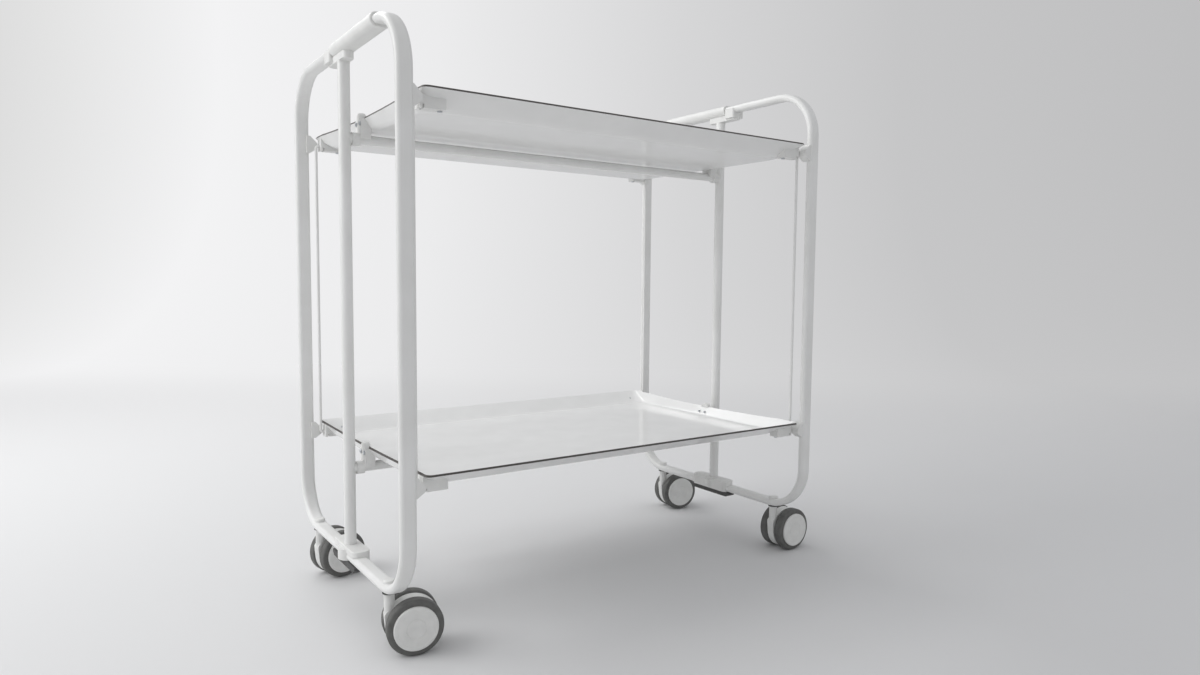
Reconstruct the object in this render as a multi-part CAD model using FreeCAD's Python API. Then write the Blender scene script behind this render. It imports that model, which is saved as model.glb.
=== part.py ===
import FreeCAD, Part
import math
import os

# Room service table: two laminate trays on a centre frame, between two tubular hoops on casters.
# Millimetres. +X is the long axis, the user stands at -Y, +Z is up and the floor is z = 0.

V = FreeCAD.Vector

# ---- overall sizes ----
tray_length = 679.0           # over the rims
tray_width = 464.0            # the hoops are as wide as the trays
hoop_top = 812.5              # centre line of a hoop's top bar
wheel_diameter = 75.0

# ---- driving dimensions ----
tube_width = 22.0             # hoops: flat oval tube, along X
tube_depth = 12.0             # flat oval tube, in the plane of the hoop
tube_wall = 1.5
hoop_corner = 74.0            # centre line radius of a hoop's corners
end_room = 11.5               # from a tray's end to the face of the hoop's post
bar_over_wheel = 7.0          # from the top of the wheels to the underside of the bottom bar
mid_post_diameter = 17.0
rail_diameter = 14.0
rail_below_top = 125.0        # upper rail's axis, below the top bar's
rail_above_bottom = 125.5     # lower rail's axis, above the bottom bar's

tray_sheet = 3.0              # laminate
tray_rise = 20.0              # from the flat underside to the rim's outer edge
long_rim_slope = 28.0         # degrees from level
end_rim_slope = 55.0
end_rim_bend = 12.0           # outer radius where the floor turns up into an end rim
long_rim_bend = 36.0          # the same for a long rim
tray_corner_low = 26.0        # corner radius in plan at the floor
tray_corner_high = 8.0        # corner radius in plan at the rim
end_rim_sag = 3.5             # the end rims dip towards the middle
end_rim_level = 42.0          # length at each end of an end rim that stays level

grip_thickness = 3.3
grip_past_middle = 22.0
grip_from_bend = 1.0          # between the grip's end and the hoop's corner

tread_face = 8.2              # tread seen round a wheel's disc
wheel_outer_face = 28.0       # from the caster's middle plane
wheel_inner_face = 8.5
caster_trail = 30.0
stem_from_post = 68.0         # along the bottom bar, from a post's axis to a caster's stem
# direction in which each caster trails, degrees from +X
caster_headings = {
    "front_left": -11.0,
    "back_left": 11.0,
    "back_right": -11.0,
    "front_right": 0.0,
}

rod_diameter = 4.5
rod_from_post = 18.0          # along Y, from a post's axis to the link rod
rod_from_tray = 4.5           # rod axis, outboard of the tray's end
rod_bend = 4.0
pin_above_floor = 6.0         # rod pins, above the tray's flat underside
pin_depth = 8.0

# ---- fits ----
seat_gap = 0.05               # radial, pressed or glued pieces
running_gap = 0.05            # radial, turning pieces
open_pin_gap = 0.3            # radial, the lower end of each link rod
tray_over_rail = 5.0          # between a rail and the tray's flat underside
side_gap = 0.5                # between a tray's end and the lugs beside it

# ---- worked out from the above ----
half_length = tray_length / 2
half_width = tray_width / 2
hoop_x = half_length + end_room + tube_width / 2
post_y = half_width - tube_depth / 2
hoop_bottom = wheel_diameter + bar_over_wheel + tube_depth / 2
rail_upper = hoop_top - rail_below_top
rail_lower = hoop_bottom + rail_above_bottom
tube_round = tube_depth / 2
tube_core = tube_width / 2 - tube_round
post_radius = mid_post_diameter / 2
rail_radius = rail_diameter / 2
tray_floor = rail_radius + tray_over_rail      # flat underside, above the rail's axis
wheel_radius = wheel_diameter / 2
stem_y = post_y - stem_from_post
rod_radius = rod_diameter / 2
rod_x = half_length + rod_from_tray
rod_offset_y = post_y - rod_from_post
end_rim_dip_width = tray_width - 2 * end_rim_level
straight_y = post_y - hoop_corner              # half the straight of a hoop's top or bottom bar
grip_length = grip_past_middle + straight_y - grip_from_bend
wheel_disc_diameter = wheel_diameter - 2 * tread_face
bar_top = hoop_bottom + tube_round
bar_under = hoop_bottom - tube_round
grip_round = tube_round + grip_thickness

# centre pivots between the mid posts and the hoops
pin_radius = 4.0
bush_radius = pin_radius + 2.0
bush_flange = 1.0
bush_length = 11.5
plug_length = 25.0
housing_rise = 8.0            # pivot housing, above the bottom bar
housing_length = 94.0
housing_wall = 4.0
barrel_radius = 18.0
barrel_rise = 4.0             # above the bottom bar
barrel_drop = 11.0            # the left barrel's inner half hangs below the bar
pad_length = 100.0
pad_height = 9.0
pad_bevel = 5.0
saddle_radius = 8.0
saddle_height = 10.0
saddle_short_end = 27.0
saddle_long_end = 47.0
collar_radius = post_radius + 0.3
collar_height = 2.0
saddle_base = hoop_top - grip_round - saddle_height
post_low = bar_top + housing_rise + bush_flange
post_high = saddle_base - collar_height - bush_flange

# lugs on the hoop posts, beside the ends of the trays
lug_reach = hoop_x - tube_width / 2 - half_length - side_gap
lug_height = 27.0
lug_above_rim = 2.0
lug_thickness = 16.0
lug_shift = 4.0               # the lug's middle, inboard of the post's middle
lug_root = 6.0                # how far the lug wraps the post
lug_flank_low = 8.0

# casters
stem_radius = 5.0
spindle_radius = 4.0
washer_radius = spindle_radius + 5.0
washer_thickness = 1.0
cap_radius = stem_radius + 3.0
cap_height = 5.0
cap_roof = 2.2
neck_radius = spindle_radius + 3.0
axle_radius = 4.0
web_radius = wheel_radius - 2.0                # round web between the two wheels
hub_ring = 13.2               # fine groove round the middle of a wheel's disc


def box(x0, x1, y0, y1, z0, z1):
    return Part.makeBox(x1 - x0, y1 - y0, z1 - z0, V(x0, y0, z0))


def rod_between(radius, start, end):
    direction = end - start
    return Part.makeCylinder(radius, direction.Length, start, direction)


def half_turn(shape):
    """The same piece for the other end of the table."""
    copy = shape.copy()
    copy.rotate(V(0, 0, 0), V(0, 0, 1), 180)
    return copy


def moved(shape, x=0.0, y=0.0, z=0.0):
    copy = shape.copy()
    copy.translate(V(x, y, z))
    return copy


def group(shapes):
    return Part.makeCompound(shapes)


def flat_oval(centre, across, core, radius):
    """Face of a flat oval: straight sides along X, round ends, 'across' is its short direction."""
    along = V(1, 0, 0)

    def at(a, b):
        return centre + along * a + across * b

    edges = [
        Part.LineSegment(at(-core, -radius), at(core, -radius)).toShape(),
        Part.Arc(at(core, -radius), at(core + radius, 0), at(core, radius)).toShape(),
        Part.LineSegment(at(core, radius), at(-core, radius)).toShape(),
        Part.Arc(at(-core, radius), at(-core - radius, 0), at(-core, -radius)).toShape(),
    ]
    return Part.Face(Part.Wire(edges))


def hoop_run(core, radius):
    """Closed ring of flat oval section at x = 0."""
    bend_y = straight_y
    middle_z = (hoop_top + hoop_bottom) / 2
    bend_z = (hoop_top - hoop_bottom) / 2 - hoop_corner
    pieces = []
    for side in (-1, 1):
        post = flat_oval(V(0, side * post_y, middle_z - bend_z), V(0, 1, 0), core, radius)
        pieces.append(post.extrude(V(0, 0, 2 * bend_z)))
        bar_z = hoop_top if side > 0 else hoop_bottom
        bar = flat_oval(V(0, -bend_y, bar_z), V(0, 0, 1), core, radius)
        pieces.append(bar.extrude(V(0, 2 * bend_y, 0)))
        for end in (-1, 1):
            start = flat_oval(V(0, end * bend_y, bar_z), V(0, 0, 1), core, radius)
            centre = V(0, end * bend_y, middle_z + side * bend_z)
            pieces.append(start.revolve(centre, V(-side * end, 0, 0), 90))
    return pieces[0].multiFuse(pieces[1:]).removeSplitter()


def bottom_bar(gap):
    """The straight of the bottom bar at x = 0, with a gap all round, for cutting its seats."""
    reach = housing_length
    return flat_oval(V(0, -reach, hoop_bottom), V(0, 0, 1), tube_core, tube_round + gap).extrude(
        V(0, 2 * reach, 0))


def make_hoop():
    hoop = hoop_run(tube_core, tube_round).cut(hoop_run(tube_core, tube_round - tube_wall))
    for side in (-1, 1):
        hole = rod_between(stem_radius + seat_gap, V(0, side * stem_y, bar_under - 1),
                           V(0, side * stem_y, bar_top + cap_height))
        hoop = hoop.cut(hole)
    bush_hole = rod_between(bush_radius + seat_gap, V(0, 0, hoop_bottom), V(0, 0, bar_top + 1))
    return moved(hoop.cut(bush_hole), -hoop_x)


def make_grip():
    """Moulded sleeve on one half of the top bar."""
    start = grip_past_middle - grip_length
    outer = flat_oval(V(0, start, hoop_top), V(0, 0, 1), tube_core, grip_round)
    outer = outer.extrude(V(0, grip_length, 0))
    ends = [e for e in outer.Edges if abs(e.BoundBox.YMax - e.BoundBox.YMin) < 0.01]
    outer = outer.makeFillet(1.6, ends)
    inner = flat_oval(V(0, start - 1, hoop_top), V(0, 0, 1), tube_core, tube_round + seat_gap)
    return moved(outer.cut(inner.extrude(V(0, grip_length + 2, 0))), -hoop_x)


def make_saddle():
    """Moulded block under the top bar: it clips round the bare bar and holds the mid post's top."""
    plan_low = -saddle_short_end + saddle_radius
    plan_high = saddle_long_end - saddle_radius
    under_grip = hoop_top - grip_round
    block = box(-saddle_radius, saddle_radius, plan_low, plan_high, saddle_base, under_grip)
    for y in (plan_low, plan_high):
        block = block.fuse(rod_between(saddle_radius, V(0, y, saddle_base), V(0, y, under_grip)))
    claw_width = tube_width / 2 + 2.5
    claw = box(-claw_width, claw_width, grip_past_middle + 1.5, saddle_long_end,
               under_grip - 7.0, hoop_top + 1.0)
    claw = claw.makeFillet(3.5, [e for e in claw.Edges if abs(e.BoundBox.ZLength) > 1])
    collar = rod_between(collar_radius, V(0, 0, saddle_base - collar_height), V(0, 0, saddle_base))
    saddle = block.fuse(collar).fuse(claw)
    bar = flat_oval(V(0, -saddle_long_end, hoop_top), V(0, 0, 1), tube_core, tube_round + seat_gap)
    saddle = saddle.cut(bar.extrude(V(0, 3 * saddle_long_end, 0)))
    bore = rod_between(bush_radius + seat_gap, V(0, 0, post_high),
                       V(0, 0, post_high + bush_flange + bush_length + 1))
    return moved(saddle.cut(bore).removeSplitter(), -hoop_x)


def make_housing(drop):
    """Pivot housing over the bottom bar: a cap plate, an inner wall and a barrel round the pin.

    The inner half of the barrel hangs by 'drop' below the bar.
    """
    outer_x = -tube_width / 2
    wall_x = tube_width / 2
    inner_x = wall_x + housing_wall
    half = housing_length / 2
    top = bar_top + housing_rise
    barrel_low = bar_under - drop
    plate = box(outer_x, inner_x, -half, half, max(barrel_low, bar_under - 2.0), top)
    plate = plate.makeFillet(9.0, [e for e in plate.Edges if e.BoundBox.ZLength > 1])
    plate = plate.makeFillet(1.5, [e for e in plate.Edges if e.BoundBox.ZMin > top - 0.01])
    barrel = rod_between(barrel_radius, V(0, 0, barrel_low), V(0, 0, bar_top + barrel_rise))
    barrel = barrel.makeFillet(6.0, [e for e in barrel.Edges if e.BoundBox.ZMax < barrel_low + 0.01])
    housing = plate.fuse(barrel)
    under_bar = box(-2 * barrel_radius, wall_x, -housing_length, housing_length,
                    barrel_low - 1, bar_under)
    beside_bar = box(-2 * barrel_radius, 0, -housing_length, housing_length,
                     bar_under, bar_top).cut(rod_between(barrel_radius, V(0, 0, bar_under),
                                                         V(0, 0, bar_top)))
    bore = rod_between(bush_radius + seat_gap, V(0, 0, hoop_bottom), V(0, 0, top + 1))
    slit = box(inner_x - 1.0, inner_x + 1, -half + 1.0, -half + 20.0, bar_top + 1.0, bar_top + 3.5)
    for cutter in (under_bar, beside_bar, bottom_bar(seat_gap), bore, slit):
        housing = housing.cut(cutter)
    return moved(housing.removeSplitter(), -hoop_x)


def make_pad():
    """Rubber strip under the bottom bar."""
    half = pad_length / 2
    low = bar_under - pad_height
    pad = box(-tube_width / 2, tube_width / 2, -half, half, low, bar_under)
    ends = [e for e in pad.Edges if e.BoundBox.ZMax < low + 0.01 and e.BoundBox.XLength > 1]
    return moved(pad.makeChamfer(pad_bevel, ends), -hoop_x)


def make_lug(rail_z, side):
    """One lug on a hoop post: sloping top, upright tip, sloping underside."""
    face = tube_width / 2
    top = rail_z + tray_floor + tray_rise + lug_above_rim
    low = top - lug_height
    outline = [
        V(face - lug_root, 0, top),
        V(face, 0, top),
        V(face + lug_reach, 0, top - lug_reach),
        V(face + lug_reach, 0, low + lug_flank_low),
        V(face, 0, low),
        V(face - lug_root, 0, low),
    ]
    wire = Part.makePolygon(outline + outline[:1])
    middle = side * (post_y - lug_shift)
    lug = Part.Face(wire).extrude(V(0, lug_thickness, 0))
    lug = moved(lug, 0, middle - lug_thickness / 2)
    post = flat_oval(V(0, side * post_y, low - 1), V(0, 1, 0), tube_core, tube_round + seat_gap)
    lug = lug.cut(post.extrude(V(0, 0, lug_height + 2)))
    return moved(lug, -hoop_x)


def make_lugs():
    return group([make_lug(rail_z, side) for rail_z in (rail_upper, rail_lower) for side in (-1, 1)])


def make_mid_post():
    outer = rod_between(post_radius, V(-hoop_x, 0, post_low), V(-hoop_x, 0, post_high))
    inner = rod_between(post_radius - tube_wall, V(-hoop_x, 0, post_low - 1),
                        V(-hoop_x, 0, post_high + 1))
    return outer.cut(inner)


def make_rail(rail_z):
    """Rail tube, coped to the two mid posts."""
    rail = rod_between(rail_radius, V(-hoop_x, 0, rail_z), V(hoop_x, 0, rail_z))
    rail = rail.cut(rod_between(rail_radius - tube_wall, V(-hoop_x - 1, 0, rail_z),
                                V(hoop_x + 1, 0, rail_z)))
    for end in (-1, 1):
        post = rod_between(post_radius + seat_gap, V(end * hoop_x, 0, rail_z - rail_diameter),
                           V(end * hoop_x, 0, rail_z + rail_diameter))
        rail = rail.cut(post)
    return rail.Solids[0]


def make_pivot_pin(at_top):
    """Stepped pin: a plug pressed into the end of the mid post, and a spindle."""
    inward = -1 if at_top else 1
    end = post_high if at_top else post_low
    plug = rod_between(post_radius - tube_wall - seat_gap, V(-hoop_x, 0, end),
                       V(-hoop_x, 0, end + inward * plug_length))
    tip = end - inward * (bush_flange + bush_length - 1)
    spindle = rod_between(pin_radius, V(-hoop_x, 0, end + inward), V(-hoop_x, 0, tip))
    return plug.fuse(spindle).removeSplitter()


def make_bush(at_top):
    inward = -1 if at_top else 1
    end = post_high if at_top else post_low
    flange_end = end - inward * bush_flange
    far_end = flange_end - inward * bush_length
    bush = rod_between(post_radius, V(-hoop_x, 0, end), V(-hoop_x, 0, flange_end))
    bush = bush.fuse(rod_between(bush_radius, V(-hoop_x, 0, flange_end), V(-hoop_x, 0, far_end)))
    bore = rod_between(pin_radius + running_gap, V(-hoop_x, 0, end + inward),
                       V(-hoop_x, 0, far_end - inward))
    return bush.cut(bore)


def rounded_rectangle(half_x, half_y, radius, z):
    """Wire of a rounded rectangle at height z."""
    edges = []
    corners = [(1, -1, -90), (1, 1, 0), (-1, 1, 90), (-1, -1, 180)]
    ends = []
    for sx, sy, first in corners:
        centre = V(sx * (half_x - radius), sy * (half_y - radius), z)
        arc = [centre + V(radius * math.cos(math.radians(first + turn)),
                          radius * math.sin(math.radians(first + turn)), 0)
               for turn in (0, 45, 90)]
        ends.append(arc)
    for index, arc in enumerate(ends):
        edges.append(Part.Arc(*arc).toShape())
        following = ends[(index + 1) % len(ends)]
        edges.append(Part.LineSegment(arc[2], following[0]).toShape())
    return Part.Wire(edges)


def rim_inset(z, slope_degrees, bend, offset):
    """Distance from the rim's outer edge, in plan, to the sheet's face at height z.

    The face lies 'offset' inside the outer one: flat floor, round bend, then a straight slope.
    """
    slope = math.radians(slope_degrees)
    above = z - offset
    radius = bend - offset
    if above >= radius * (1 - math.cos(slope)):
        return (tray_rise - z) / math.tan(slope) + offset / math.sin(slope)
    bend_start = tray_rise / math.tan(slope) + bend * math.tan(slope / 2)
    return bend_start - math.sqrt(max(0.0, 2 * radius * above - above ** 2))


def sloped_dish(offset, high):
    """Solid between the tray's rims, up to z = high, its faces moved in by 'offset'."""
    sections = []
    bends = [0.0, 0.25, 0.9, 2.0, 3.5, 5.1]
    for z in [offset + step for step in bends] + sorted({tray_rise, high}):
        share = min(z / tray_rise, 1.0)
        radius = tray_corner_low + share * (tray_corner_high - 0.7 * offset - tray_corner_low)
        half_x = half_length - rim_inset(z, end_rim_slope, end_rim_bend, offset)
        half_y = half_width - rim_inset(z, long_rim_slope, long_rim_bend, offset)
        sections.append(rounded_rectangle(half_x, half_y, radius, z))
    return Part.makeLoft(sections, True, True)


def tray_outside():
    """The tray's outer form, filled: underside, bends, sloping rims and the trimmed edge."""
    trim = 1.5 * tray_sheet
    low = rounded_rectangle(half_length, half_width, tray_corner_high, tray_rise)
    inward = trim * math.sin(math.radians(long_rim_slope))
    upward = trim * math.cos(math.radians(long_rim_slope))
    high = rounded_rectangle(half_length - inward, half_width - inward,
                             tray_corner_high - inward, tray_rise + upward)
    edge = Part.makeLoft([low, high], True, True)
    return sloped_dish(0.0, tray_rise).fuse(edge)


def end_dip():
    """Cutter for the dip of one end rim: an arc swept square to the laminate."""
    slope = math.radians(end_rim_slope)
    depth = end_rim_sag / math.sin(slope) ** 2
    half = end_rim_dip_width / 2
    high = tray_rise + 40.0
    at = half_length
    edges = [
        Part.Arc(V(at, -half, tray_rise), V(at, 0, tray_rise - depth), V(at, half, tray_rise)).toShape(),
        Part.LineSegment(V(at, half, tray_rise), V(at, half, high)).toShape(),
        Part.LineSegment(V(at, half, high), V(at, -half, high)).toShape(),
        Part.LineSegment(V(at, -half, high), V(at, -half, tray_rise)).toShape(),
    ]
    square = V(math.sin(slope), 0, -math.cos(slope))
    face = Part.Face(Part.Wire(edges))
    face.translate(square * 4.0)
    return face.extrude(square * -14.0)


bracket_half = 12.0
hood_half = 11.0              # rounded hood that hooks over the middle of the end rim
hood_rise = 9.0               # its crown, above the rim's dipped edge
hood_inner_x = half_length - 6.5
hood_edge = 1.8
bracket_inner_x = half_length - 12.0
bracket_outer_x = half_length + 2.5
bracket_top = tray_rise - end_rim_sag - 1.0
eye_radius = rail_radius + 2.5
eye_end_x = hoop_x - post_radius - 1.2
bracket_screw_y = 7.5
bracket_screw_z = 10.0
screw_radius = 1.5
screw_hole = 1.6
screw_head = 3.2
screw_head_height = 1.8

clip_outer_x = half_length - 1.3
clip_inner_x = half_length - 35.0
clip_half = 9.0
clip_flange = 2.0
clip_top = 19.0
clip_screw_x = half_length - 30.5
clip_screw_tip = 11.8         # just through the rim, above the tray's flat underside


def bracket_screw_axis(y, radius, start_x, end_x):
    return rod_between(radius, V(start_x, y, bracket_screw_z), V(end_x, y, bracket_screw_z))


def make_tray():
    """Laminate tray, z = 0 on its flat underside."""
    tray = tray_outside().cut(sloped_dish(tray_sheet, tray_rise + 16.0))
    dip = end_dip()
    tray = tray.cut(dip).cut(half_turn(dip))
    for end in (0, 1):
        for y in (-bracket_screw_y, bracket_screw_y):
            hole = bracket_screw_axis(y, screw_hole, half_length - 30.0, half_length)
            tray = tray.cut(half_turn(hole) if end else hole)
        for side in (-1, 1):
            hole = rod_between(screw_hole, V(clip_screw_x, side * rod_offset_y, -1),
                               V(clip_screw_x, side * rod_offset_y, clip_screw_tip + 2.0))
            tray = tray.cut(half_turn(hole) if end else hole)
    return tray.Solids[0]


def make_hood():
    """Upright slab with a half-round crown, from the outside of the end rim to just inside it."""
    crown_z = tray_rise - end_rim_sag + hood_rise - hood_half
    low_z = bracket_top - hood_edge
    x = hood_inner_x
    edges = [
        Part.LineSegment(V(x, -hood_half, low_z), V(x, -hood_half, crown_z)).toShape(),
        Part.Arc(V(x, -hood_half, crown_z), V(x, 0, crown_z + hood_half),
                 V(x, hood_half, crown_z)).toShape(),
        Part.LineSegment(V(x, hood_half, crown_z), V(x, hood_half, low_z)).toShape(),
        Part.LineSegment(V(x, hood_half, low_z), V(x, -hood_half, low_z)).toShape(),
    ]
    hood = Part.Face(Part.Wire(edges)).extrude(V(bracket_outer_x - x, 0, 0))
    crowns = [e for e in hood.Edges if e.BoundBox.XLength < 0.01
              and e.BoundBox.YLength > hood_half and e.BoundBox.ZMax > crown_z + 1]
    return hood.makeFillet(hood_edge, crowns)


def make_bracket(outside):
    """Bracket at the middle of a tray's end: a wedge under the rim, an eye round the rail, a hood."""
    axis_z = -tray_floor
    wedge = box(bracket_inner_x, bracket_outer_x, -bracket_half, bracket_half, axis_z, bracket_top)
    eye = rod_between(eye_radius, V(bracket_outer_x - 1, 0, axis_z), V(eye_end_x, 0, axis_z))
    bracket = wedge.fuse(eye).fuse(make_hood()).cut(outside)
    bore = rod_between(rail_radius + running_gap, V(bracket_inner_x - 1, 0, axis_z),
                       V(eye_end_x + 1, 0, axis_z))
    bracket = bracket.cut(bore)
    for y in (-bracket_screw_y, bracket_screw_y):
        hole = bracket_screw_axis(y, screw_hole, bracket_inner_x, bracket_outer_x + 1)
        bracket = bracket.cut(hole)
    return max(bracket.Solids, key=lambda solid: solid.Volume)


def make_bracket_screws():
    screws = []
    for y in (-bracket_screw_y, bracket_screw_y):
        shank = bracket_screw_axis(y, screw_radius, half_length - 14.5, bracket_outer_x)
        head = bracket_screw_axis(y, screw_head, bracket_outer_x, bracket_outer_x + screw_head_height)
        head = head.makeChamfer(0.6, [e for e in head.Edges
                                      if e.BoundBox.XMin > bracket_outer_x + 1])
        screws.append(shank.fuse(head).removeSplitter())
    return screws


def make_clip(outside):
    """Clip under a tray's corner: it holds the hooked end of a link rod."""
    clip = box(clip_inner_x, clip_outer_x, rod_offset_y - clip_half, rod_offset_y + clip_half,
               -clip_flange, clip_top).cut(outside)
    clip = max(clip.Solids, key=lambda solid: solid.Volume)
    slot = box(clip_outer_x - 5.5, clip_outer_x - 3.0, rod_offset_y - clip_half - 1,
               rod_offset_y + clip_half + 1, -clip_flange - 1, pin_above_floor - rod_radius - 1.0)
    hole = rod_between(screw_hole, V(clip_screw_x, rod_offset_y, -clip_flange - 1),
                       V(clip_screw_x, rod_offset_y, clip_screw_tip))
    return clip.cut(slot).cut(hole)


def pin_bore(gap):
    return rod_between(rod_radius + gap, V(rod_x - rod_bend - pin_depth - 0.5, rod_offset_y,
                                           pin_above_floor),
                       V(rod_x, rod_offset_y, pin_above_floor))


def make_clip_screw():
    under = -clip_flange
    shank = rod_between(screw_radius, V(clip_screw_x, rod_offset_y, under),
                        V(clip_screw_x, rod_offset_y, clip_screw_tip))
    head = rod_between(screw_head, V(clip_screw_x, rod_offset_y, under),
                       V(clip_screw_x, rod_offset_y, under - screw_head_height))
    head = head.makeChamfer(0.6, [e for e in head.Edges if e.BoundBox.ZMax < under - 1])
    return shank.fuse(head).removeSplitter()


def mirrored_y(shape):
    return shape.mirror(V(0, 0, 0), V(0, 1, 0))


def mirrored_x(shape):
    return shape.mirror(V(0, 0, 0), V(1, 0, 0))


def four_corners(shape):
    return [shape, mirrored_y(shape), mirrored_x(shape), mirrored_x(mirrored_y(shape))]


def tray_set(name, rail_z, pin_gap):
    """Tray, end brackets, clips and screws of one level."""
    outside = tray_outside()
    bracket = make_bracket(outside.cut(end_dip()))
    clip = make_clip(outside).cut(pin_bore(pin_gap))
    screws = make_bracket_screws()
    nodes = {
        name: make_tray(),
        name + "_end_brackets": group([bracket, half_turn(bracket)]),
        name + "_bracket_screws": group(screws + [half_turn(screw) for screw in screws]),
        name + "_rod_clips": group(four_corners(clip)),
        name + "_clip_screws": group(four_corners(make_clip_screw())),
    }
    return {key: moved(shape, 0, 0, rail_z + tray_floor) for key, shape in nodes.items()}


def make_link_rod():
    """Wire between the clips of the two trays, hooked inwards at both ends."""
    low = rail_lower + tray_floor + pin_above_floor
    high = rail_upper + tray_floor + pin_above_floor
    middle = math.cos(math.radians(45)) * rod_bend
    y = rod_offset_y
    inner_x = rod_x - rod_bend - pin_depth
    path = [
        Part.LineSegment(V(inner_x, y, low), V(rod_x - rod_bend, y, low)),
        Part.Arc(V(rod_x - rod_bend, y, low),
                 V(rod_x - rod_bend + middle, y, low + rod_bend - middle),
                 V(rod_x, y, low + rod_bend)),
        Part.LineSegment(V(rod_x, y, low + rod_bend), V(rod_x, y, high - rod_bend)),
        Part.Arc(V(rod_x, y, high - rod_bend),
                 V(rod_x - rod_bend + middle, y, high - rod_bend + middle),
                 V(rod_x - rod_bend, y, high)),
        Part.LineSegment(V(rod_x - rod_bend, y, high), V(inner_x, y, high)),
    ]
    wire = Part.Wire([curve.toShape() for curve in path])
    section = Part.Wire(Part.Circle(V(inner_x, y, low), V(1, 0, 0), rod_radius).toShape())
    return wire.makePipeShell([section], True, True)


def turned_y(half_profile):
    """Solid of revolution about Y from (y, radius) points."""
    points = [V(0, y, 0) + V(radius, 0, 0) for y, radius in half_profile]
    wire = Part.makePolygon(points + points[:1])
    return Part.Face(wire).revolve(V(0, 0, 0), V(0, 1, 0), 360)


def make_wheel_hub():
    disc = wheel_disc_diameter / 2
    rim = disc - 2.3
    cover = wheel_outer_face - 3.2
    hub = turned_y([
        (wheel_inner_face, axle_radius + running_gap),
        (wheel_inner_face, 10.0),
        (cover - 3.0, 10.0),
        (cover - 3.0, rim - 3.0),
        (wheel_inner_face, rim - 3.0),
        (wheel_inner_face, rim),
        (cover, rim),
        (cover, disc),
        (wheel_outer_face - 1.0, disc),
        (wheel_outer_face, disc - 1.2),
        (wheel_outer_face, disc - 5.0),
        (wheel_outer_face - 0.4, disc - 5.4),
        (wheel_outer_face - 0.4, hub_ring + 0.3),
        (wheel_outer_face - 0.8, hub_ring),
        (wheel_outer_face - 0.8, hub_ring - 0.8),
        (wheel_outer_face - 0.4, hub_ring - 1.1),
        (wheel_outer_face - 0.4, 0.0),
        (wheel_outer_face - 2.4, 0.0),
        (wheel_outer_face - 2.4, axle_radius + running_gap),
    ])
    return hub


def make_wheel_tread():
    inner = wheel_disc_diameter / 2 - 2.3 + seat_gap
    low = wheel_inner_face + 0.5
    high = wheel_outer_face - 3.3
    shoulder = 3.5
    ring = rod_between(wheel_radius, V(0, low, 0), V(0, high, 0))
    ring = ring.makeFillet(shoulder, [e for e in ring.Edges
                                      if abs(e.BoundBox.YLength) < 0.01])
    return ring.cut(rod_between(inner, V(0, low - 1, 0), V(0, high + 1, 0)))


def link_plate(start, start_radius, end, end_radius, half_thickness):
    """Plate round two circles in the XZ plane, joined by their outer tangents."""
    distance = math.hypot(end[0] - start[0], end[1] - start[1])
    heading = math.atan2(end[1] - start[1], end[0] - start[0])
    spread = math.acos((start_radius - end_radius) / distance)

    def at(centre, radius, angle):
        return V(centre[0] + radius * math.cos(angle), -half_thickness,
                 centre[1] + radius * math.sin(angle))

    edges = [
        Part.Arc(at(start, start_radius, heading + spread), at(start, start_radius, heading + math.pi),
                 at(start, start_radius, heading - spread)).toShape(),
        Part.LineSegment(at(start, start_radius, heading - spread),
                         at(end, end_radius, heading - spread)).toShape(),
        Part.Arc(at(end, end_radius, heading - spread), at(end, end_radius, heading),
                 at(end, end_radius, heading + spread)).toShape(),
        Part.LineSegment(at(end, end_radius, heading + spread),
                         at(start, start_radius, heading + spread)).toShape(),
    ]
    return Part.Face(Part.Wire(edges)).extrude(V(0, 2 * half_thickness, 0))


def make_caster_body():
    """Moulded body between the two wheels, with the socket for the spindle; trails along +X."""
    neck_top = bar_under - washer_thickness
    plate = link_plate((0.0, wheel_radius + 14.0), neck_radius, (caster_trail, wheel_radius),
                       web_radius, neck_radius)
    neck = rod_between(neck_radius, V(0, 0, wheel_radius + 4.0), V(0, 0, neck_top))
    socket = rod_between(spindle_radius + running_gap, V(0, 0, wheel_radius + 15.0),
                         V(0, 0, neck_top + 1))
    axle_hole = rod_between(axle_radius + seat_gap, V(caster_trail, -wheel_radius, wheel_radius),
                            V(caster_trail, wheel_radius, wheel_radius))
    return plate.fuse(neck).cut(socket).cut(axle_hole).removeSplitter()


def make_axle():
    reach = wheel_outer_face - 3.0
    return rod_between(axle_radius, V(caster_trail, -reach, wheel_radius),
                       V(caster_trail, reach, wheel_radius))


def make_stem():
    spindle = rod_between(spindle_radius, V(0, 0, wheel_radius + 16.0), V(0, 0, bar_under + 1))
    upper = rod_between(stem_radius, V(0, 0, bar_under), V(0, 0, bar_top + cap_height - cap_roof - 0.2))
    return spindle.fuse(upper).removeSplitter()


def make_washer():
    low = bar_under - washer_thickness
    washer = rod_between(washer_radius, V(0, 0, low), V(0, 0, bar_under))
    return washer.cut(rod_between(spindle_radius + seat_gap, V(0, 0, low - 1), V(0, 0, bar_under + 1)))


def make_caps():
    """Domed caps over the stems of one hoop, shaped to the bar where it starts to bend up."""
    top = bar_top + cap_height
    cap = rod_between(cap_radius, V(0, 0, bar_top), V(0, 0, top))
    cap = cap.makeFillet(2.4, [e for e in cap.Edges if e.BoundBox.ZMin > bar_top + 1])
    cap = cap.cut(rod_between(stem_radius + seat_gap, V(0, 0, bar_top - 1), V(0, 0, top - cap_roof)))
    seat = hoop_run(tube_core, tube_round + seat_gap)
    return [moved(moved(cap, 0, side * stem_y).cut(seat), -hoop_x) for side in (-1, 1)]


def caster_places():
    """Stem axis and heading of each caster."""
    places = {}
    for name, heading in caster_headings.items():
        x = -hoop_x if name.endswith("left") else hoop_x
        y = -stem_y if name.startswith("front") else stem_y
        places[name] = (x, y, heading)
    return places


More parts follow.
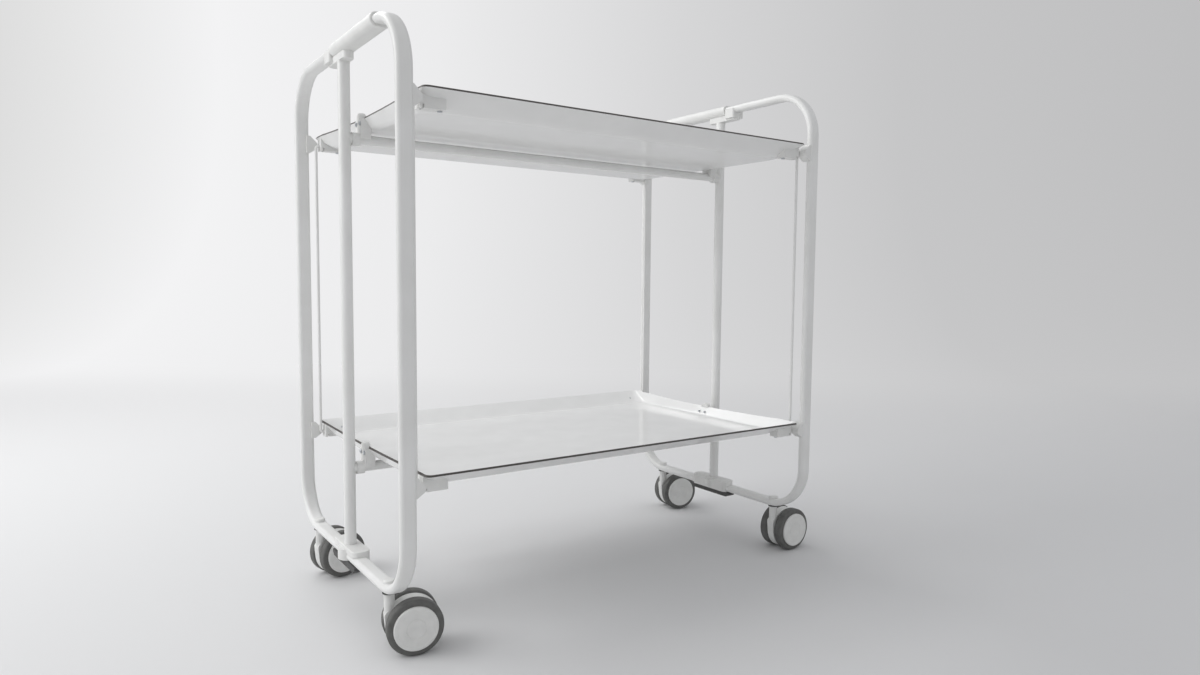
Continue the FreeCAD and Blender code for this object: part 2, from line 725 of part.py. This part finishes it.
def placed(shape, place):
    x, y, heading = place
    copy = shape.copy()
    copy.rotate(V(0, 0, 0), V(0, 0, 1), heading)
    copy.translate(V(x, y, 0))
    return copy


def caster_nodes(name, place):
    hub = moved(make_wheel_hub(), caster_trail, 0, wheel_radius)
    tread = moved(make_wheel_tread(), caster_trail, 0, wheel_radius)
    return {
        "caster_body_" + name: placed(make_caster_body(), place),
        "caster_axle_" + name: placed(make_axle(), place),
        "wheel_hubs_" + name: placed(group([hub, mirrored_y(hub)]), place),
        "wheel_treads_" + name: placed(group([tread, mirrored_y(tread)]), place),
    }


def all_nodes():
    nodes = {}
    for name, make in (("hoop", make_hoop), ("grip", make_grip), ("top_saddle", make_saddle),
                       ("bar_pad", make_pad),
                       ("tray_lugs", make_lugs), ("mid_post", make_mid_post)):
        left = make()
        nodes[name + "_left"] = left
        nodes[name + "_right"] = half_turn(left)
    nodes["pivot_housing_left"] = make_housing(barrel_drop)
    nodes["pivot_housing_right"] = half_turn(make_housing(0.0))
    pins = [make_pivot_pin(at_top) for at_top in (False, True)]
    bushes = [make_bush(at_top) for at_top in (False, True)]
    nodes["pivot_pins"] = group(pins + [half_turn(pin) for pin in pins])
    nodes["pivot_bushes"] = group(bushes + [half_turn(bush) for bush in bushes])
    nodes["rail_upper"] = make_rail(rail_upper)
    nodes["rail_lower"] = make_rail(rail_lower)

    nodes.update(tray_set("upper_tray", rail_upper, running_gap))
    nodes.update(tray_set("lower_tray", rail_lower, open_pin_gap))
    rod = make_link_rod()
    nodes["link_rod_back_right"] = rod
    nodes["link_rod_front_right"] = mirrored_y(rod)
    nodes["link_rod_back_left"] = mirrored_x(rod)
    nodes["link_rod_front_left"] = mirrored_x(mirrored_y(rod))

    places = caster_places()
    level = [(x, y, 0.0) for x, y, heading in places.values()]
    nodes["caster_stems"] = group([placed(make_stem(), place) for place in level])
    nodes["swivel_washers"] = group([placed(make_washer(), place) for place in level])
    caps = make_caps()
    nodes["caster_caps"] = group(caps + [half_turn(cap) for cap in caps])
    for name, place in places.items():
        nodes.update(caster_nodes(name, place))
    return nodes


def main():
    os.makedirs("parts", exist_ok=True)
    nodes = all_nodes()
    whole = group(list(nodes.values())).optimalBoundingBox(False, False)
    shift = -(whole.XMin + whole.XMax) / 2       # the origin lies under the middle of the whole
    for name, shape in nodes.items():
        moved(shape, shift).exportStep(os.path.join("parts", name + ".step"))
        state = "" if shape.isValid() else "  NOT VALID"
        print(name, len(shape.Solids), "solids", round(shape.Volume / 1000, 2), "cm3" + state)
    print("shift in x", round(shift, 4), "size", round(whole.XLength, 2), round(whole.YLength, 2),
          round(whole.ZLength, 2), "lowest", round(whole.ZMin, 4))


main()
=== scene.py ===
# %% [markdown]
# # A room service table
#
# Two white laminate trays hang on a centre frame between two hoops of flat oval tube, and the
# whole stands on four twin-wheel casters. The engineering model already holds every tube,
# bracket and wheel at its real size, so this script loads it as a fixed frame and never moves it.
# What is left to make here is what the eye judges first: light, finishes, and the thin trays.

# %% Load the frame
import math

import bmesh
import bpy
from mathutils import Matrix, Vector


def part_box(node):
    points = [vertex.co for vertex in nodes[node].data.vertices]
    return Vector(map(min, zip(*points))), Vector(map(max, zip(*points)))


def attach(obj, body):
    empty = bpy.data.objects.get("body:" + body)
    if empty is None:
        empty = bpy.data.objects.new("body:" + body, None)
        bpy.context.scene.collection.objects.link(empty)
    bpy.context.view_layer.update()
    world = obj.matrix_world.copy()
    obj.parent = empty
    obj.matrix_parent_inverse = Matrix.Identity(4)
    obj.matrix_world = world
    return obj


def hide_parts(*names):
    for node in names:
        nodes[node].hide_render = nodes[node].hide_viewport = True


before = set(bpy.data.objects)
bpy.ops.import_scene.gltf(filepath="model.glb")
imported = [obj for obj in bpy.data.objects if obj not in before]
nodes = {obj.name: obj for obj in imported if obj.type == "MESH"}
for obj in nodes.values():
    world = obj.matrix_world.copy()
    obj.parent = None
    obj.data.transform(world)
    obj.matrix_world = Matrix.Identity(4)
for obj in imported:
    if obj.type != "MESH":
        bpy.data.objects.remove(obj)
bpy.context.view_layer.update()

MM = 0.001                     # Blender works in metres

# %% [markdown]
# ## The camera
#
# The photograph was taken from low down at the front left corner, with a wide lens. Its place,
# its turn and its lens came from the corners of the hoops and trays: with all three right, every
# post leans and every rail shortens as it does in the picture, and nothing has to be stretched.

# %% Place the camera
image_width, focal_pixels, sensor_width = 1200, 793.0, 36.0
camera_place = Vector((-744.7, -1140.8, 493.8)) * MM
yaw, pitch, roll = 0.612, 0.075, 0.009          # radians: to the right, downwards, clockwise

forward = Vector((math.sin(yaw) * math.cos(pitch),
                  math.cos(yaw) * math.cos(pitch),
                  -math.sin(pitch)))
level_right = Vector((math.cos(yaw), -math.sin(yaw), 0.0))
level_up = level_right.cross(forward)
right = level_right * math.cos(roll) + level_up * math.sin(roll)
up = level_up * math.cos(roll) - level_right * math.sin(roll)

camera = bpy.data.objects.new("camera", bpy.data.cameras.new("camera"))
bpy.context.scene.collection.objects.link(camera)
camera.data.sensor_width = sensor_width
camera.data.lens = focal_pixels / image_width * sensor_width
camera.data.clip_end = 100.0
turn = Matrix((right, up, -forward)).transposed().to_4x4()
camera.matrix_world = Matrix.Translation(camera_place) @ turn
bpy.context.scene.camera = camera
print("lens, mm:", round(camera.data.lens, 2))

# %% [markdown]
# ## Small tools for materials
#
# A colour picked from a screen is an sRGB value, and the renderer wants linear light, so one
# function turns a hex value into linear numbers. Another adds one node, with its settings and
# its links, which keeps every material below readable from top to bottom. The rest are short
# forms for the nodes that most of the materials share.

# %% Colour and node helpers
def linear(hex_colour):
    """Linear RGBA of an sRGB hex value such as 'e8e8e6'."""
    parts = [int(hex_colour[i:i + 2], 16) / 255 for i in (0, 2, 4)]
    return (*[p / 12.92 if p <= 0.04045 else ((p + 0.055) / 1.055) ** 2.4 for p in parts], 1.0)


def new_material(name):
    """A material with an empty node tree, and that tree."""
    material = bpy.data.materials.new(name)
    material.use_nodes = True
    material.node_tree.nodes.clear()
    return material, material.node_tree


def node(tree, kind, settings=(), **sockets):
    """One node: settings are its properties, sockets its inputs, as values or outputs to link.

    A socket goes by its name, with _ for a space, or by its number, as in i0.
    """
    made = tree.nodes.new(kind)
    for name, value in dict(settings).items():
        setattr(made, name, value)
    for name, value in sockets.items():
        label = name.replace("_", " ")
        numbered = label[0] == "i" and label[1:].isdigit()
        socket = made.inputs[int(label[1:]) if numbered else label]
        if isinstance(value, bpy.types.NodeSocket):
            tree.links.new(value, socket)
        else:
            socket.default_value = value
    return made


def noise(tree, width, detail):
    """Smooth noise on the object's own coordinates, with features about this wide, in mm."""
    place = node(tree, "ShaderNodeTexCoord").outputs["Object"]
    return node(tree, "ShaderNodeTexNoise", Vector=place, Scale=1 / (width * MM),
                Detail=detail).outputs["Fac"]


def bump(tree, height, strength, depth):
    """A bumped normal, from a height between 0 and 1 that stands for this depth, in mm."""
    return node(tree, "ShaderNodeBump", Strength=strength, Distance=depth * MM,
                Height=height).outputs[0]


def colour_ramp(tree, factor, low, high, low_colour, high_colour):
    """A ramp between two hex colours, from 'low' to 'high' of the factor."""
    ramp = node(tree, "ShaderNodeValToRGB", i0=factor)
    first, last = ramp.color_ramp.elements
    first.position, last.position = low, high
    first.color, last.color = linear(low_colour), linear(high_colour)
    return ramp.outputs["Color"]


def finish_material(tree, shader):
    """Send a shader to the material's output."""
    node(tree, "ShaderNodeOutputMaterial", Surface=shader.outputs[0])


print("white reads as", [round(v, 3) for v in linear("e8e8e6")])

# %% [markdown]
# ## Powder-coated steel
#
# The tubes are steel with a white polyester powder, sprayed on dry and melted in an oven. The
# melt never flows quite flat, so the coat keeps an orange peel: soft waves a few millimetres
# wide that break up a highlight along a tube. Polyester has an IOR of about 1.5 and a satin
# shine. A slow, faint change of tone stands for the coat's thickness.

# %% Make the powder coat
def powder_coat():
    material, tree = new_material("powder_coated_steel")
    peel_width = 2.5            # real orange peel is 1 to 3 mm from crest to crest
    peel = bump(tree, noise(tree, peel_width, 1.0), strength=0.10, depth=0.05)
    cloud = noise(tree, 60, 2.0)
    tone = colour_ramp(tree, cloud, 0.3, 0.7, "e6e6e4", "ececeb")
    shine = node(tree, "ShaderNodeMapRange", Value=cloud, To_Min=0.32, To_Max=0.40)
    shader = node(tree, "ShaderNodeBsdfPrincipled", Base_Color=tone, Roughness=shine.outputs[0],
                  IOR=1.5, Normal=peel)
    finish_material(tree, shader)
    return material


powder_coated_steel = powder_coat()
print("made", powder_coated_steel.name)

# %% [markdown]
# ## Moulded polyamide
#
# The grips, saddles, lugs, brackets and clips are glass-filled polyamide (nylon), moulded in a
# steel tool whose walls are spark-eroded. That leaves a fine, even grain that scatters light,
# so these parts look a little flatter and greyer than the paint beside them. The real grain is
# about 0.1 mm, which no picture at this size can show, so it is drawn at 0.8 mm.

# %% Make the moulded polyamide
def moulded_polyamide():
    material, tree = new_material("moulded_polyamide")
    grain_width = 0.8
    grain = bump(tree, noise(tree, grain_width, 2.0), strength=0.12, depth=0.05)
    tone = colour_ramp(tree, noise(tree, 25, 3.0), 0.3, 0.7, "e1e1df", "e8e8e6")
    shader = node(tree, "ShaderNodeBsdfPrincipled", Base_Color=tone, Roughness=0.5, IOR=1.53,
                  Normal=grain)
    finish_material(tree, shader)
    return material


polyamide = moulded_polyamide()
print("made", polyamide.name)

# %% [markdown]
# ## High-pressure laminate
#
# The trays are sheets of resin-soaked paper, pressed hot in a mould: a dark phenolic core of
# brown paper with a white melamine sheet on each face. The melamine is hard and glossy, so the
# tray mirrors the rods and the far rim. Where the sheet is trimmed, the dark core shows as a
# thin line. A melamine face has an IOR of about 1.6 and a slow waviness left by the press.

# %% Make the laminate's face and its cut edge
def melamine_face():
    material, tree = new_material("white_melamine_laminate")
    wave = noise(tree, 45, 1.0)
    ripple = bump(tree, wave, strength=0.06, depth=0.6)
    tone = colour_ramp(tree, wave, 0.3, 0.7, "ebebea", "efefee")
    shine = node(tree, "ShaderNodeMapRange", Value=noise(tree, 120, 4.0), From_Min=0.3,
                 From_Max=0.7, To_Min=0.10, To_Max=0.16)
    shader = node(tree, "ShaderNodeBsdfPrincipled", Base_Color=tone, Roughness=shine.outputs[0],
                  IOR=1.6, Normal=ripple)
    finish_material(tree, shader)
    return material


def phenolic_edge():
    material, tree = new_material("phenolic_core_edge")
    ply = noise(tree, 3, 3.0)
    tone = colour_ramp(tree, ply, 0.3, 0.7, "3c3937", "55504c")
    shader = node(tree, "ShaderNodeBsdfPrincipled", Base_Color=tone, Roughness=0.55, IOR=1.55,
                  Normal=bump(tree, ply, strength=0.2, depth=0.1))
    finish_material(tree, shader)
    return material


laminate, laminate_edge = melamine_face(), phenolic_edge()
print("made", laminate.name, "and", laminate_edge.name)

# %% [markdown]
# ## Caster plastic, tread and strip
#
# The wheel discs and caster bodies are moulded polypropylene, slightly waxy and glossier than
# the polyamide. The treads are a grey thermoplastic rubber: matt, a little dusty where they
# meet the floor. The strip under each bottom bar is a softer, darker rubber.

# %% Make the caster's plastic and the rubbers
def caster_polypropylene():
    material, tree = new_material("moulded_polypropylene")
    tone = colour_ramp(tree, noise(tree, 14, 2.0), 0.3, 0.7, "dcdcda", "e4e4e2")
    skin = bump(tree, noise(tree, 1.5, 1.0), strength=0.06, depth=0.05)
    shader = node(tree, "ShaderNodeBsdfPrincipled", Base_Color=tone, Roughness=0.34, IOR=1.49,
                  Normal=skin)
    finish_material(tree, shader)
    return material


def rubber(name, dark, pale, roughness):
    material, tree = new_material(name)
    tone = colour_ramp(tree, noise(tree, 8, 4.0), 0.35, 0.75, dark, pale)
    grit = bump(tree, noise(tree, 0.7, 2.0), strength=0.2, depth=0.08)
    shader = node(tree, "ShaderNodeBsdfPrincipled", Base_Color=tone, Roughness=roughness, IOR=1.52,
                  Normal=grit)
    finish_material(tree, shader)
    return material


polypropylene = caster_polypropylene()
tread_rubber = rubber("thermoplastic_rubber_tread", "5a5a58", "696967", 0.6)
strip_rubber = rubber("soft_rubber_strip", "4a4a49", "585857", 0.7)
print("made", polypropylene.name, tread_rubber.name, strip_rubber.name)

# %% [markdown]
# ## Zinc-plated steel
#
# Screws, stems and axles are steel with a thin zinc plating: a metal, so its colour sits in its
# reflection, a cool grey, with a roughness that varies from the plating bath.

# %% Make the zinc plating
def zinc_plate():
    material, tree = new_material("zinc_plated_steel")
    bloom = noise(tree, 2, 3.0)
    tone = colour_ramp(tree, bloom, 0.3, 0.7, "b4b8bd", "ced1d4")
    shine = node(tree, "ShaderNodeMapRange", Value=bloom, To_Min=0.25, To_Max=0.42)
    shader = node(tree, "ShaderNodeBsdfPrincipled", Base_Color=tone, Metallic=1.0,
                  Roughness=shine.outputs[0])
    finish_material(tree, shader)
    return material


zinc = zinc_plate()
print("made", zinc.name)

# %% [markdown]
# ## Dress the frame
#
# Every node of the engineering model gets the finish of its real material. The names say what
# each one is, so a short list of words sorts them, and the first match wins. All but the two
# trays, which the next part draws again, keep the meshes that they have.

# %% Give each node its finish
finishes = [
    (("hoop", "mid_post", "rail", "link_rod"), powder_coated_steel),
    (("grip", "top_saddle", "pivot_housing", "tray_lugs"), polyamide),
    (("pivot_bushes", "caster_caps"), polyamide),
    (("upper_tray_end", "lower_tray_end", "upper_tray_rod", "lower_tray_rod"), polyamide),
    (("wheel_treads",), tread_rubber),
    (("bar_pad", "swivel_washers"), strip_rubber),
    (("wheel_hubs", "caster_body"), polypropylene),
    (("pivot_pins", "caster_stems", "caster_axle"), zinc),
    (("upper_tray_bracket", "lower_tray_bracket", "upper_tray_clip", "lower_tray_clip"), zinc),
    (("upper_tray", "lower_tray"), laminate),
]
for name, thing in nodes.items():
    material = next(m for words, m in finishes if name.startswith(words))
    thing.data.materials.clear()
    thing.data.materials.append(material)
print("dressed", len(nodes), "nodes")

# %% [markdown]
# ## The trays
#
# A tray is one sheet, pressed while hot, so its floor turns up into sloping rims through a soft
# bend, and the ends dip towards the middle. The way to draw such a sheet is in rings: each ring
# follows the outline of the tray at one step of the section, from the underside, out and up the
# rim, over the trimmed edge, and down again inside. Joined in order, the rings are the sheet, and
# the ring of faces on the trimmed edge can have the dark core's finish.

# %% Say how a tray is shaped
sheet = 3.0                                     # mm, thickness of the laminate
rise = 20.0                                     # from the underside to the rim's outer edge
end_slope, long_slope = math.radians(55), math.radians(28)
end_bend, long_bend = 12.0, 36.0                # radius where floor turns into rim, outside
corner_low, corner_high = 26.0, 8.0             # corner radius in plan, at the floor and the edge
cut_lean = long_slope                           # the trimmed edge leans this much from upright
sag, sag_half = 3.5, 190.0                      # dip of the end rims, and half its width
flat_rings = (12.0, 3.0)                        # two rings on the floor, this far inside the bend
bend_steps, slope_steps = 8, 3                  # rings over a bend and up a rim
core_share = 0.94                               # of the cut's width; the rest is the top sheet
corner_steps, end_steps, long_steps = 10, 40, 12        # points round a quarter of the outline
sharp_angle = math.radians(35)                  # faces that meet at more than this keep an edge
tray_low, tray_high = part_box("upper_tray")
tray_half_x = (tray_high.x - tray_low.x) / 2 / MM
tray_half_y = (tray_high.y - tray_low.y) / 2 / MM
tray_middle_x = (tray_high.x + tray_low.x) / 2 / MM
print("tray, mm:", round(2 * tray_half_x, 1), "by", round(2 * tray_half_y, 1))


# %% Work out the section, ring by ring
def side_section(half, slope, outer_bend, edge_drop):
    """(distance from the tray's middle, height) along the section of one side, outside first."""
    foot = half - rise / math.tan(slope) - outer_bend * math.tan(slope / 2)
    points = [(foot - inside, 0.0) for inside in flat_rings]
    for i in range(bend_steps + 1):
        turn = slope * i / bend_steps
        points.append((foot + outer_bend * math.sin(turn), outer_bend * (1 - math.cos(turn))))
    bend_out, bend_up = points[-1]
    edge_up = rise - edge_drop
    for i in range(1, slope_steps + 1):
        height = bend_up + (edge_up - bend_up) * i / slope_steps
        points.append((bend_out + (height - bend_up) / math.tan(slope), height))
    edge_out = points[-1][0]
    cut = sheet / math.cos(slope - cut_lean)    # width of the cut face, from outside to inside
    for share in (core_share, 1.0):
        points.append((edge_out - share * cut * math.sin(cut_lean),
                       edge_up + share * cut * math.cos(cut_lean)))
    inner_bend = outer_bend - sheet
    top_out, top_up = points[-1]
    end_out = foot + inner_bend * math.sin(slope)
    end_up = outer_bend - inner_bend * math.cos(slope)
    for i in range(1, slope_steps + 1):
        share = i / slope_steps
        points.append((top_out + (end_out - top_out) * share, top_up + (end_up - top_up) * share))
    for i in range(1, bend_steps + 1):
        turn = slope * (1 - i / bend_steps)
        points.append((foot + inner_bend * math.sin(turn),
                       outer_bend - inner_bend * math.cos(turn)))
    return points + [(foot - inside, sheet) for inside in reversed(flat_rings)]


def drop_at(y):
    """How far the end rim's edge dips, at a distance y from the tray's middle line."""
    return sag * max(0.0, 1 - (y / sag_half) ** 2)


rings_in_section = len(side_section(tray_half_x, end_slope, end_bend, 0.0))
edge_ring = len(flat_rings) + bend_steps + slope_steps      # the ring on the rim's outer edge
print("rings in the section:", rings_in_section)


# %% Build one tray
def quarter_outline():
    """One quarter of the outline, from the end's middle to the long side's middle, as recipes.

    Each recipe is (share along the end, share of the corner's turn, share along the long side).
    """
    end = [(i / end_steps, 0.0, 0.0) for i in range(end_steps)]
    corner = [(1.0, i / corner_steps, 0.0) for i in range(corner_steps)]
    long = [(1.0, 1.0, i / long_steps) for i in range(long_steps)]
    return end + corner + long


def corner_radius(height):
    """Radius of the tray's corner in plan, which tightens from the floor up to the edge."""
    return corner_low + (corner_high - corner_low) * min(height / rise, 1.0)


def outline_point(recipe, ring):
    """Place of one vertex in the first quarter: x and y both positive."""
    along_end, corner_turn, along_long = recipe
    plain_end = side_section(tray_half_x, end_slope, end_bend, 0.0)[ring]
    long_out, long_up = side_section(tray_half_y, long_slope, long_bend, 0.0)[ring]
    radius = corner_radius(long_up)
    if corner_turn == 0.0 and along_long == 0.0:
        y = along_end * (long_out - radius)
        end_out, end_up = side_section(tray_half_x, end_slope, end_bend, drop_at(y))[ring]
        return end_out, y, end_up
    if along_long == 0.0:
        turn = corner_turn * math.pi / 2
        height = plain_end[1] + (long_up - plain_end[1]) * corner_turn
        return (plain_end[0] - radius + radius * math.cos(turn),
                long_out - radius + radius * math.sin(turn), height)
    x = (plain_end[0] - radius) * (1 - along_long)
    return x, long_out, long_up


def tray_ring(ring):
    """One whole ring: a quarter outline, mirrored twice."""
    quarter = [outline_point(recipe, ring) for recipe in quarter_outline()]
    last = (0.0, *outline_point((1.0, 1.0, 0.5), ring)[1:])
    half = quarter + [last] + [(-x, y, z) for x, y, z in reversed(quarter)]
    return half + [(-x, -y, z) for x, y, z in half[1:-1]]


def make_tray(name, body, cad_node):
    """The tray's mesh in place of the engineering model's, riding on the same body."""
    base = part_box(cad_node)[0].z / MM
    mesh = bmesh.new()
    rings = []
    for ring in range(rings_in_section):
        rings.append([mesh.verts.new(((x + tray_middle_x) * MM, y * MM, (z + base) * MM))
                      for x, y, z in tray_ring(ring)])
    count = len(rings[0])
    for ring in range(rings_in_section - 1):
        for i in range(count):
            j = (i + 1) % count
            face = mesh.faces.new((rings[ring][i], rings[ring][j],
                                   rings[ring + 1][j], rings[ring + 1][i]))
            face.material_index = 1 if ring == edge_ring else 0
            face.smooth = True
    mesh.faces.new(reversed(rings[0])).smooth = True
    mesh.faces.new(rings[-1]).smooth = True
    bmesh.ops.recalc_face_normals(mesh, faces=mesh.faces[:])
    data = bpy.data.meshes.new(name)
    mesh.to_mesh(data)
    mesh.free()
    data.materials.append(laminate)
    data.materials.append(laminate_edge)
    data.set_sharp_from_angle(angle=sharp_angle)
    tray = bpy.data.objects.new(name, data)
    bpy.context.scene.collection.objects.link(tray)
    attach(tray, body)
    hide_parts(cad_node)
    print(name, "has", len(data.polygons), "faces")


make_tray("pressed_tray_upper", "upper_tray_set", "upper_tray")
make_tray("pressed_tray_lower", "lower_tray_set", "lower_tray")

# %% [markdown]
# ## The studio
#
# The object stands on a pale sweep: a floor that curves up into a wall, so no horizon shows. The
# wall carries painted light: a glow, bright on the left and greyer to the right as in the
# photograph, that stands for the pool of lamp light on it. That painted light is only for the
# camera's eye: it fades in with distance, and it lights nothing, so it can't flatten the object.
# A large soft lamp on the left, a little behind, gives the tubes their shaded side. A second one
# hangs over the floor behind the object, and an even world fills the rest.

# %% Build the sweep
# painted light on the wall: a glow for the camera only, standing for the lamp light that falls
# there
painted_light_half = 4.4                                 # m, from the wash's middle to either end
fade_start, fade_end = 0.2, 2.8                 # m behind the object, where the wash fades in
painted_wall_light_tones = ((0.01, "dedede"), (0.06, "e4e4e4"), (0.19, "f3f3f4"), (0.37, "ececed"),
              (0.57, "d6d6d7"), (0.75, "c6c6c7"), (0.99, "bfbfc0"))     # from left to right


def sweep_mesh():
    """Floor and wall in one strip, with a quarter circle between them."""
    front, wall, bend, height, half = -6.0, 4.5, 2.0, 6.0, 12.0
    section = [(front, 0.0)]
    steps = 24
    for i in range(steps + 1):
        angle = math.pi / 2 * i / steps
        section.append((wall - bend + bend * math.sin(angle), bend - bend * math.cos(angle)))
    section.append((wall, height))
    mesh = bpy.data.meshes.new("sweep")
    verts = [(x, y, z) for y, z in section for x in (-half, half)]
    faces = [(2 * i, 2 * i + 1, 2 * i + 3, 2 * i + 2) for i in range(len(section) - 1)]
    mesh.from_pydata(verts, [], faces)
    mesh.shade_smooth()
    sweep = bpy.data.objects.new("sweep", mesh)
    sweep.rotation_euler.z = -yaw            # the wall stands square to the view
    bpy.context.scene.collection.objects.link(sweep)
    return sweep


def sweep_paper():
    """Paper that takes shadows on the floor, and shows the camera painted light on the wall
    behind.
    """
    material, tree = new_material("studio_paper_with_painted_light")
    place = node(tree, "ShaderNodeTexCoord").outputs["Object"]
    axes = node(tree, "ShaderNodeSeparateXYZ", Vector=place)
    across = node(tree, "ShaderNodeMapRange", Value=axes.outputs["X"], From_Min=-2.0, From_Max=2.5)
    tone = colour_ramp(tree, across.outputs[0], 0.0, 1.0, "dcdcdc", "dededf")
    paper = node(tree, "ShaderNodeBsdfPrincipled", Base_Color=tone, Roughness=0.9)

    # painted light: an emission ramp, bright on the left and greyer to the right, seen only by the
    # camera
    wide = node(tree, "ShaderNodeMapRange", Value=axes.outputs["X"], From_Min=-painted_light_half,
                From_Max=painted_light_half)
    painted_light_ramp = node(tree, "ShaderNodeValToRGB", i0=wide.outputs[0])
    stops = painted_light_ramp.color_ramp.elements
    ends = zip(stops[:], (painted_wall_light_tones[0], painted_wall_light_tones[-1]))
    for stop, (position, colour) in ends:
        stop.position, stop.color = position, linear(colour)
    for position, colour in painted_wall_light_tones[1:-1]:
        stops.new(position).color = linear(colour)
    painted_light_glow = node(tree, "ShaderNodeEmission", Color=painted_light_ramp.outputs["Color"])
    height = node(tree, "ShaderNodeMapRange", {"interpolation_type": "SMOOTHSTEP"},
                  Value=axes.outputs["Y"], From_Min=fade_start, From_Max=fade_end)
    seen = node(tree, "ShaderNodeLightPath").outputs["Is Camera Ray"]
    share = node(tree, "ShaderNodeMath", {"operation": "MULTIPLY"}, i0=height.outputs[0], i1=seen)
    shader = node(tree, "ShaderNodeMixShader", i0=share.outputs[0], i1=paper.outputs[0],
                  i2=painted_light_glow.outputs[0])
    finish_material(tree, shader)
    return material


sweep = sweep_mesh()
sweep.data.materials.append(sweep_paper())
print("sweep made of", len(sweep.data.polygons), "faces")

# %% Light it
world = bpy.data.worlds.new("studio")
bpy.context.scene.world = world
world.use_nodes = True
world.node_tree.nodes.clear()
sky = node(world.node_tree, "ShaderNodeBackground", Color=linear("f4f5f7"), Strength=0.66)
node(world.node_tree, "ShaderNodeOutputWorld", Surface=sky.outputs[0])


def soft_lamp(name, place, target, size, power):
    """A rectangular lamp that faces its target; places and sizes in metres, power in watts."""
    lamp = bpy.data.lights.new(name, "AREA")
    lamp.shape, lamp.size, lamp.size_y, lamp.energy = "RECTANGLE", size[0], size[1], power
    thing = bpy.data.objects.new(name, lamp)
    thing.location = place
    thing.rotation_euler = (Vector(target) - Vector(place)).to_track_quat("-Z", "Y").to_euler()
    bpy.context.scene.collection.objects.link(thing)


soft_lamp("key", (-2.6, 0.9, 1.9), (0.0, 0.0, 0.4), (1.6, 2.0), 38.0)
soft_lamp("back", (-0.7, 1.9, 2.3), (-0.7, 1.5, 0.0), (2.0, 1.2), 24.0)
bpy.context.scene.view_settings.view_transform = "Standard"
